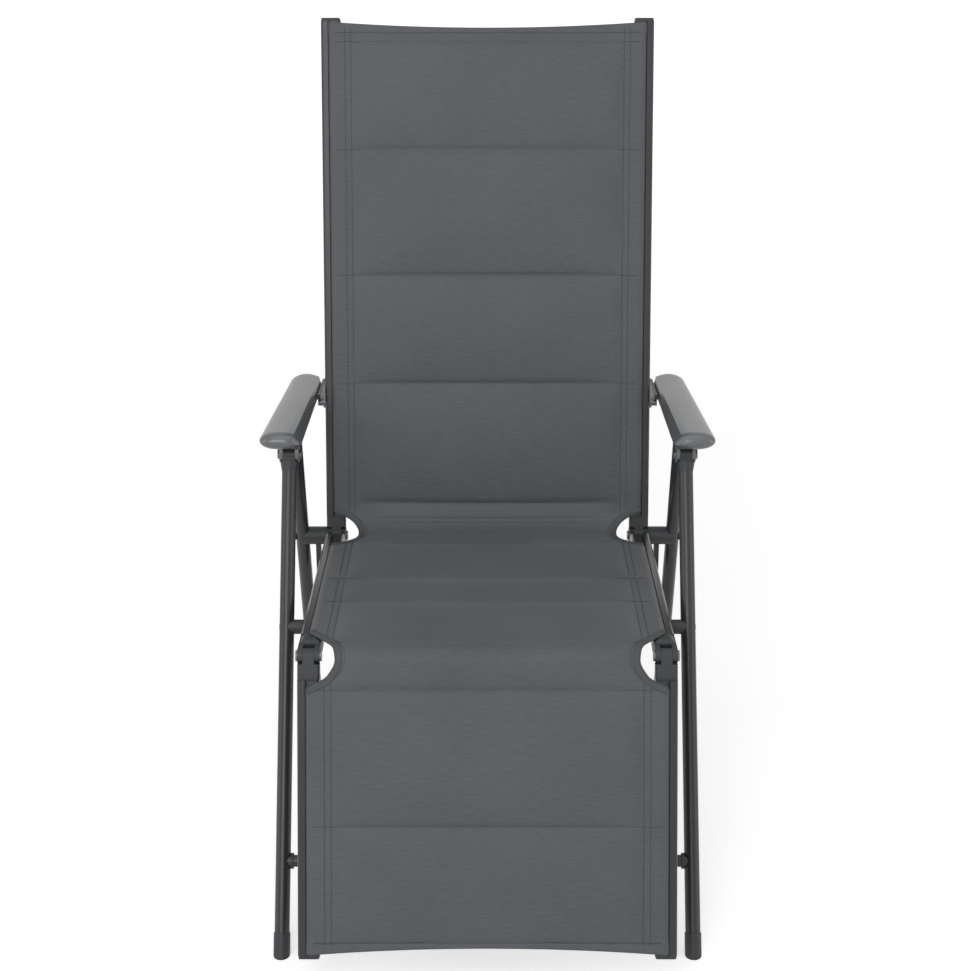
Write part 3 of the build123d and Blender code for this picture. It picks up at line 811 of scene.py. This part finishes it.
# Armrests: places are (along, rise) from the pivot, in millimetres, as in the construction
front_foot_place = -294.1734
front_leg_angle = radians(61.6)
arm_pivot_height = 588.0
arm_pivot = Vector((front_foot_place + arm_pivot_height / tan(front_leg_angle), arm_pivot_height))
arm_angle = radians(-3.0)
arm_front = -42.0
arm_rear = 318.0
arm_inner_x = 251.5
arm_underside = 15.0
arm_height = 24.0
arm_ear_places = (257.7, 279.3)
arm_ear_thickness = 5.0
arm_ear_radius = 11.0
arm_ear_overlap = 6

# How the section changes from front to rear, and how far and how fully its ends and outer side round off
arm_front_width = 57.0
arm_width_loss = 11.0
arm_front_chamfer = 10.0
arm_chamfer_loss = 7.0
arm_front_rounding = 15.0
arm_rear_rounding = 23.0
arm_front_fullness = 0.6
arm_rear_fullness = 0.3
arm_side_fullness = 0.8
arm_end_inset = 0.05
arm_round_steps = 24

# The inner side: (share of the half width, rise) under the chamfer, then chamfer, bevel and crown
arm_inner_points = ((0.6, -11.8), (0.88, -10.2), (0.98, -7.0), (1.0, -3.0))
arm_crease_rise = 8.6
arm_bevel_width = 5.0
arm_bevel_rise = 10.0
arm_crown_share = 0.3
arm_crown_rise = 11.6


def on_armrest(along, x, rise):
    """The point at a place along and over the armrest, in metres."""
    place = arm_pivot + along * direction(arm_angle) + rise * normal(arm_angle)
    return Vector((x, place[0], place[1])) * MM


def armrest_section(along):
    """Points round the armrest at a place along it, as (x, rise) pairs, and which point is its crease."""
    share = (along - arm_front) / (arm_rear - arm_front)
    width = arm_front_width - arm_width_loss * share
    chamfer = arm_front_chamfer - arm_chamfer_loss * share
    middle = arm_inner_x + width / 2
    front = min(1.0, (along - arm_front) / arm_front_rounding)
    rear = min(1.0, (arm_rear - along) / arm_rear_rounding)
    front_round = sqrt(1 - (1 - front) ** 2)
    rear_round = sqrt(1 - (1 - rear) ** 2)
    wide = front_round**arm_front_fullness * rear_round
    high = front_round * rear_round**arm_rear_fullness
    points = []
    for step in range(arm_round_steps + 1):
        turn = pi / 2 - pi * step / arm_round_steps
        outer = width / 2 * max(0.0, cos(turn)) ** arm_side_fullness
        points.append((outer, arm_height / 2 * sin(turn)))
    inner = -width / 2
    points += [(part * inner, rise) for part, rise in arm_inner_points]
    crease = len(points)
    points += [
        (inner + chamfer, arm_crease_rise),
        (inner + chamfer + arm_bevel_width, arm_bevel_rise),
        (arm_crown_share * inner, arm_crown_rise),
    ]
    return [(middle + wide * x, arm_underside + arm_height / 2 + high * rise) for x, rise in points], crease


def make_armrest(name, side, material):
    """Domed armrest with an oval front end, a crease along its inner side and two pivot ears."""
    build = bmesh.new()
    rings = []
    span = arm_rear - arm_front
    steps = 96
    for step in range(steps + 1):
        along = arm_front + arm_end_inset + (span - 2 * arm_end_inset) * (1 - cos(pi * step / steps)) / 2
        section, crease = armrest_section(along)
        rings.append([build.verts.new(on_armrest(along, side * x, rise)) for x, rise in section])
    count = len(rings[0])
    for near, far in zip(rings, rings[1:]):
        for k in range(count):
            build.faces.new((near[k], near[(k + 1) % count], far[(k + 1) % count], far[k]))
    build.faces.new(rings[0])
    build.faces.new(rings[-1])
    bmesh.ops.recalc_face_normals(build, faces=build.faces)
    build.edges.ensure_lookup_table()
    for near, far in zip(rings, rings[1:]):
        edge = build.edges.get((near[crease], far[crease]))
        edge.smooth = False
    ear_top = arm_underside + arm_ear_overlap
    for ear_x in arm_ear_places:
        outline = [(arm_ear_radius, ear_top), (-arm_ear_radius, ear_top)]
        for step in range(arm_round_steps + 1):
            turn = pi + pi * step / arm_round_steps
            outline.append((arm_ear_radius * cos(turn), arm_ear_radius * sin(turn)))
        near = [build.verts.new(on_armrest(a, side * ear_x, r)) for a, r in outline]
        far_x = side * (ear_x + arm_ear_thickness)
        far = [build.verts.new(on_armrest(a, far_x, r)) for a, r in outline]
        faces = [build.faces.new(near), build.faces.new(far)]
        for k in range(len(near)):
            after = (k + 1) % len(near)
            faces.append(build.faces.new((near[k], near[after], far[after], far[k])))
        bmesh.ops.recalc_face_normals(build, faces=faces)
        for face in faces[:2]:
            for edge in face.edges:
                edge.smooth = False
    piece = mesh_object(name, build)
    piece.data.materials.append(material)
    smooth(piece)
    return piece


# Sewing by Geometry Nodes: one stitch set at each step along the seam lines
def stitch_tree(material, pitch, radius, length):
    """The node tree that lays stitches along lines."""
    tree = bpy.data.node_groups.new("stitches_along_seams", "GeometryNodeTree")
    tree.interface.new_socket("Geometry", in_out="INPUT", socket_type="NodeSocketGeometry")
    for name, default in (("Stitch pitch", pitch), ("Thread radius", radius), ("Stitch length", length)):
        socket = tree.interface.new_socket(name, in_out="INPUT", socket_type="NodeSocketFloat")
        socket.default_value = default
    tree.interface.new_socket("Geometry", in_out="OUTPUT", socket_type="NodeSocketGeometry")
    given = add_node(tree, "NodeGroupInput")
    seams = add_node(tree, "GeometryNodeMeshToCurve", links={"Mesh": given.outputs["Geometry"]})
    steps = add_node(
        tree,
        "GeometryNodeResampleCurve",
        {"mode": "LENGTH"},
        {"Curve": seams.outputs["Curve"], "Length": given.outputs["Stitch pitch"]},
    )
    stitch = add_node(
        tree,
        "GeometryNodeMeshCylinder",
        {"Vertices": 6},
        {"Radius": given.outputs["Thread radius"], "Depth": given.outputs["Stitch length"]},
    )
    tangent = add_node(tree, "GeometryNodeInputTangent")
    turned = add_node(
        tree, "FunctionNodeAlignEulerToVector", {"axis": "Z"}, {"Vector": tangent.outputs["Tangent"]}
    )
    placed = add_node(
        tree,
        "GeometryNodeInstanceOnPoints",
        links={
            "Points": steps.outputs["Curve"],
            "Instance": stitch.outputs["Mesh"],
            "Rotation": turned.outputs["Rotation"],
        },
    )
    real = add_node(tree, "GeometryNodeRealizeInstances", links={"Geometry": placed.outputs["Instances"]})
    painted = add_node(
        tree, "GeometryNodeSetMaterial", {"Material": material}, {"Geometry": real.outputs["Geometry"]}
    )
    add_node(tree, "NodeGroupOutput", links={"Geometry": painted.outputs["Geometry"]})
    return tree


def baked(name, lines, tree, inputs):
    """Runs a node tree on a set of lines and keeps the result as a plain mesh."""
    build = bmesh.new()
    for points in lines:
        vertices = [build.verts.new(point) for point in points]
        for first, second in zip(vertices, vertices[1:]):
            build.edges.new((first, second))
    carrier = mesh_object(name + "_lines", build)
    modifier = carrier.modifiers.new("Stitches", "NODES")
    modifier.node_group = tree
    for socket in tree.interface.items_tree:
        if socket.in_out == "INPUT" and socket.name in inputs:
            modifier[socket.identifier] = inputs[socket.name]
    bpy.context.view_layer.update()
    evaluated = carrier.evaluated_get(bpy.context.evaluated_depsgraph_get())
    mesh = bpy.data.meshes.new_from_object(evaluated)
    mesh.name = name
    carrier.modifiers.remove(modifier)
    bpy.data.objects.remove(carrier)
    piece = bpy.data.objects.new(name, mesh)
    bpy.context.collection.objects.link(piece)
    return piece


def seam_lines(first, last, settings):
    """Seam lines of one sling piece: rows across it and two down each side."""
    crown = settings.crown / MM
    pad_half = settings.pad_half_width / MM
    lines = []
    proud = thread_proud * MM
    half_steps = 30

    def on_cloth(length, x):
        point, face = line.at(length)
        return sling_point(length, x, crown, pad_half, 1) + proud * Vector((0, face[0], face[1]))

    rows = [mark for mark in sewn_marks if first <= mark <= last]
    if first == 0:
        rows.append(hem_width - hem_seam_inset)
    if last > line.length - 1:
        rows.append(line.length - hem_width + hem_seam_inset)
    for mark in rows:
        wide = half_width(mark) - binding_band
        steps = range(2 * half_steps + 1)
        lines.append([on_cloth(mark, wide * (step / half_steps - 1)) for step in steps])
    for side in (-1, 1):
        for outset in (0.0, side_seam_gap):
            points = []
            for step in range(int((last - first - 2 * side_seam_start) / side_seam_step)):
                length = first + side_seam_start + side_seam_step * step
                x = side * min(pad_half + outset, half_width(length) - binding_band + outset)
                points.append(on_cloth(length, x))
            lines.append(points)
    return lines


class ChairOperator:
    bl_options = {"REGISTER", "UNDO"}


# The two sling pieces: name, both ends along the line, the two bodies, and where the bend starts and ends
rear_bend = ((0, 0.150, 0.404), (0, 0.212, 0.466))
front_bend = ((0, -0.236, 0.430), (0, -0.266, 0.398))
cloth_pieces = (
    ("padded_sling_back", 0.0, split_mark, "seat", "backrest", *rear_bend),
    ("padded_sling_footrest", split_mark, line.length, "seat", "footrest", *front_bend),
)


class CHAIR_OT_sling(ChairOperator, bpy.types.Operator):
    """Makes the padded sling of the back, seat and footrest"""

    bl_idname = "garden_chair.sling"
    bl_label = "Padded Sling"

    def execute(self, context):
        settings = context.scene.garden_chair_cloth
        material = coated_mesh_fabric(settings)
        replaced = {
            "padded_sling_back": ("back_sling", "seat_sling"),
            "padded_sling_footrest": ("footrest_sling",),
        }
        for name, first, last, body_a, body_b, start, end in cloth_pieces:
            piece = make_sling(name, first, last, settings, material)
            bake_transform(piece)
            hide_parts(*replaced[name])
        return {"FINISHED"}


class CHAIR_OT_binding(ChairOperator, bpy.types.Operator):
    """Binds the edges of the sling's hinge cut-outs"""

    bl_idname = "garden_chair.binding"
    bl_label = "Bound Edges"

    def execute(self, context):
        settings = context.scene.garden_chair_cloth
        # Woven tape: flatter and more matt than the mesh, so the cut-outs read as bound
        material = grained_material(
            "woven_polyester_binding",
            linear("#484B4E"),
            roughness=0.62,
            metallic=0.0,
            grain_mm=0.8,
            relief_mm=0.1,
        )
        for (_, _, _, body_a, body_b, start, end), cut in zip(cloth_pieces, (rear_cut, front_cut)):
            piece = make_binding(f"cutout_binding_{body_b}", cut, settings, material)
            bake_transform(piece)
        return {"FINISHED"}


class CHAIR_OT_sewing(ChairOperator, bpy.types.Operator):
    """Sews the seams of the sling, stitch by stitch"""

    bl_idname = "garden_chair.sewing"
    bl_label = "Sewing"

    def execute(self, context):
        settings = context.scene.garden_chair_cloth
        # Bonded thread: darker than the cloth, so each seam reads as a fine dashed line
        thread = grained_material(
            "bonded_polyester_thread",
            tuple(settings.sewing_thread),
            roughness=0.5,
            metallic=0.0,
            grain_mm=0.5,
            relief_mm=0.05,
        )
        sizes = {
            "Stitch pitch": settings.stitch_pitch,
            "Thread radius": thread_radius * MM,
            "Stitch length": stitch_share * settings.stitch_pitch,
        }
        tree = stitch_tree(thread, *sizes.values())
        for name, first, last, body_a, body_b, start, end in cloth_pieces:
            piece = baked(f"stitches_{body_b}", seam_lines(first, last, settings), tree, sizes)
            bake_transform(piece)
        return {"FINISHED"}


class CHAIR_OT_frame(ChairOperator, bpy.types.Operator):
    """Gives the metal frame, its fittings and the armrests their finishes"""

    bl_idname = "garden_chair.frame"
    bl_label = "Frame Finishes"

    def execute(self, context):
        settings = context.scene.garden_chair_frame
        # Powder coat: satin with a fine orange peel. Mouldings: spark-eroded grain, nearly matt.
        # Armrests: smoother, so their domed tops shine pale. Pins: dull metal. Cord: plain dark plastic.
        # Each slot has its colour, roughness, metallic share, grain and relief in millimetres, and IOR
        substances = (
            ("frame_metal", "powder_coated_aluminium", settings.powder_coat, 0.27, 0.0, 1.2, 0.03, 1.42),
            ("fitting_plastic", "moulded_polypropylene", settings.fitting, 0.5, 0.0, 0.7, 0.08, 1.5),
            (
                "armrest_plastic",
                "moulded_armrest_polypropylene",
                settings.armrest,
                *(0.32, 0.0, 0.8, 0.04, 1.75),
            ),
            ("steel_pins", "dark_zinc_plated_steel", settings.pin, 0.4, 0.9, 0.6, 0.02, 1.5),
            ("cord_plastic", "extruded_pvc_cord", linear("#26282A"), 0.45, 0.0, 0.8, 0.03, 1.5),
        )
        finishes = {}
        for slot_name, substance, tone, roughness, metallic, grain, relief, ior in substances:
            finishes[slot_name] = grained_material(
                substance, tuple(tone), roughness, metallic, grain, relief, ior=ior
            )
        slots = {entry["node"]: entry["material_slot"] for entry in frame["record"]["subparts"]}
        for node, piece in frame["nodes"].items():
            material = finishes.get(slots[node])
            if material is None:
                continue
            if not piece.material_slots:
                piece.data.materials.append(material)
            for slot in piece.material_slots:
                slot.material = material
        for name, side in (("left", -1), ("right", 1)):
            armrest = make_armrest(f"armrest_shell_{name}", side, finishes["armrest_plastic"])
            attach(armrest, "armrests")
            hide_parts(f"armrest_{name}")
        return {"FINISHED"}


class CHAIR_OT_stage(ChairOperator, bpy.types.Operator):
    """Sets the pale floor, the soft studio light and the photograph's camera"""

    bl_idname = "garden_chair.stage"
    bl_label = "Stage"

    def execute(self, context):
        settings = context.scene.garden_chair_stage
        scene = context.scene
        build = bmesh.new()
        bmesh.ops.create_grid(build, x_segments=1, y_segments=1, size=60)
        floor = mesh_object("studio_floor", build)
        floor.data.materials.append(self.floor_material(settings))
        self.light_world(scene)
        # The front soft box draws one bright band down each tube; the side and top ones only lift the edges
        aim = Vector((0, 0, 0.6))
        for name, place, width, height, power in (
            ("front_soft_box", (-0.9, -3.3, 2.3), 2.0, 2.2, 42),
            ("left_soft_box", (-2.6, -0.9, 1.3), 0.7, 2.4, 10),
            ("right_soft_box", (2.6, -0.9, 1.3), 0.7, 2.4, 10),
            ("top_soft_box", (0.0, -0.6, 3.4), 2.6, 2.0, 12),
        ):
            lamp = bpy.data.lights.new(name, "AREA")
            lamp.shape = "RECTANGLE"
            lamp.size = width
            lamp.size_y = height
            lamp.energy = power
            light = bpy.data.objects.new(name, lamp)
            light.location = place
            light.rotation_euler = (aim - Vector(place)).to_track_quat("-Z", "Y").to_euler()
            context.collection.objects.link(light)
        data = bpy.data.cameras.new("photo_camera")
        data.lens = settings.focal_length
        data.sensor_width = 36
        # The chair stands 2.5 pixels off the middle of a picture 970 pixels wide
        data.shift_x = -2.5 / 970
        data.clip_end = 200
        camera = bpy.data.objects.new("photo_camera", data)
        camera.location = (0, front_hinge[0] * MM - settings.camera_distance, settings.camera_height)
        camera.rotation_euler = (pi / 2 - settings.camera_pitch, 0, 0)
        context.collection.objects.link(camera)
        scene.camera = camera
        scene.view_settings.view_transform = "Standard"
        return {"FINISHED"}

    def floor_material(self, settings):
        """Painted floor that reads white to the camera and still keeps the chair's shadow."""
        material, tree = new_material("matt_white_studio_paint")
        place = add_node(tree, "ShaderNodeTexCoord").outputs["Object"]
        mottle = add_node(tree, "ShaderNodeTexNoise", {"Scale": 3.0}, {"Vector": place})
        rough = add_node(
            tree, "ShaderNodeMapRange", {"To Min": 0.85, "To Max": 0.95}, {"Value": mottle.outputs["Fac"]}
        )
        paint = add_node(
            tree,
            "ShaderNodeBsdfPrincipled",
            {"Base Color": colour(settings.floor)},
            {"Roughness": rough.outputs["Result"]},
        )
        # Weak enough round the chair to keep its shadow, and stronger where the lamps no longer reach
        away = add_node(tree, "ShaderNodeVectorMath", {"operation": "LENGTH"}, {0: place})
        lift = add_node(
            tree,
            "ShaderNodeMapRange",
            {"From Min": 1.0, "From Max": 6.0, "To Min": 0.57, "To Max": 0.8},
            {"Value": away.outputs["Value"]},
        )
        glow = add_node(tree, "ShaderNodeEmission", links={"Strength": lift.outputs["Result"]})
        both = add_node(
            tree, "ShaderNodeAddShader", links={0: paint.outputs["BSDF"], 1: glow.outputs["Emission"]}
        )
        rays = self.seen_rays(tree)
        mixed = add_node(
            tree,
            "ShaderNodeMixShader",
            links={0: rays, 1: paint.outputs["BSDF"], 2: both.outputs["Shader"]},
        )
        add_node(tree, "ShaderNodeOutputMaterial", links={"Surface": mixed.outputs["Shader"]})
        return material

    def seen_rays(self, tree):
        rays = add_node(tree, "ShaderNodeLightPath")
        glossy = add_node(
            tree,
            "ShaderNodeMath",
            {"operation": "ADD"},
            {0: rays.outputs["Is Camera Ray"], 1: rays.outputs["Is Glossy Ray"]},
        )
        return add_node(
            tree,
            "ShaderNodeMath",
            {"operation": "ADD", "use_clamp": True},
            {0: glossy.outputs["Value"], 1: rays.outputs["Is Transmission Ray"]},
        ).outputs["Value"]

    def light_world(self, scene):
        world = bpy.data.worlds.new("studio_world")
        world.use_nodes = True
        tree = world.node_tree
        tree.nodes.clear()
        light = add_node(tree, "ShaderNodeBackground", {"Color": (1, 1, 1, 1), "Strength": 0.3})
        white = add_node(tree, "ShaderNodeBackground", {"Color": (1, 1, 1, 1), "Strength": 1.0})
        mixed = add_node(
            tree,
            "ShaderNodeMixShader",
            links={0: self.seen_rays(tree), 1: light.outputs["Background"], 2: white.outputs["Background"]},
        )
        add_node(tree, "ShaderNodeOutputWorld", links={"Surface": mixed.outputs["Shader"]})
        scene.world = world


class CHAIR_PT_panel(bpy.types.Panel):
    """Lists the armchair's operators and settings"""

    bl_label = "Garden Armchair"
    bl_idname = "CHAIR_PT_panel"
    bl_space_type = "VIEW_3D"
    bl_region_type = "UI"
    bl_category = "Armchair"

    def draw(self, context):
        for operator in operators:
            self.layout.operator(operator.bl_idname)
        for group in ("garden_chair_cloth", "garden_chair_frame", "garden_chair_stage"):
            settings = getattr(context.scene, group)
            box = self.layout.box()
            for name in settings.__annotations__:
                box.prop(settings, name)


operators = (CHAIR_OT_frame, CHAIR_OT_sling, CHAIR_OT_binding, CHAIR_OT_sewing, CHAIR_OT_stage)
setting_groups = {
    "garden_chair_cloth": ClothSettings,
    "garden_chair_frame": FrameSettings,
    "garden_chair_stage": StageSettings,
}


def register():
    for group in (*setting_groups.values(), *operators, CHAIR_PT_panel):
        bpy.utils.register_class(group)
    for name, group in setting_groups.items():
        setattr(bpy.types.Scene, name, PointerProperty(type=group))


def unregister():
    for name in setting_groups:
        delattr(bpy.types.Scene, name)
    for group in (CHAIR_PT_panel, *reversed(operators), *setting_groups.values()):
        bpy.utils.unregister_class(group)


def main():
    register()
    bpy.ops.garden_chair.frame()
    bpy.ops.garden_chair.sling()
    bpy.ops.garden_chair.binding()
    bpy.ops.garden_chair.sewing()
    bpy.ops.garden_chair.stage()


if __name__ == "__main__":
    main()
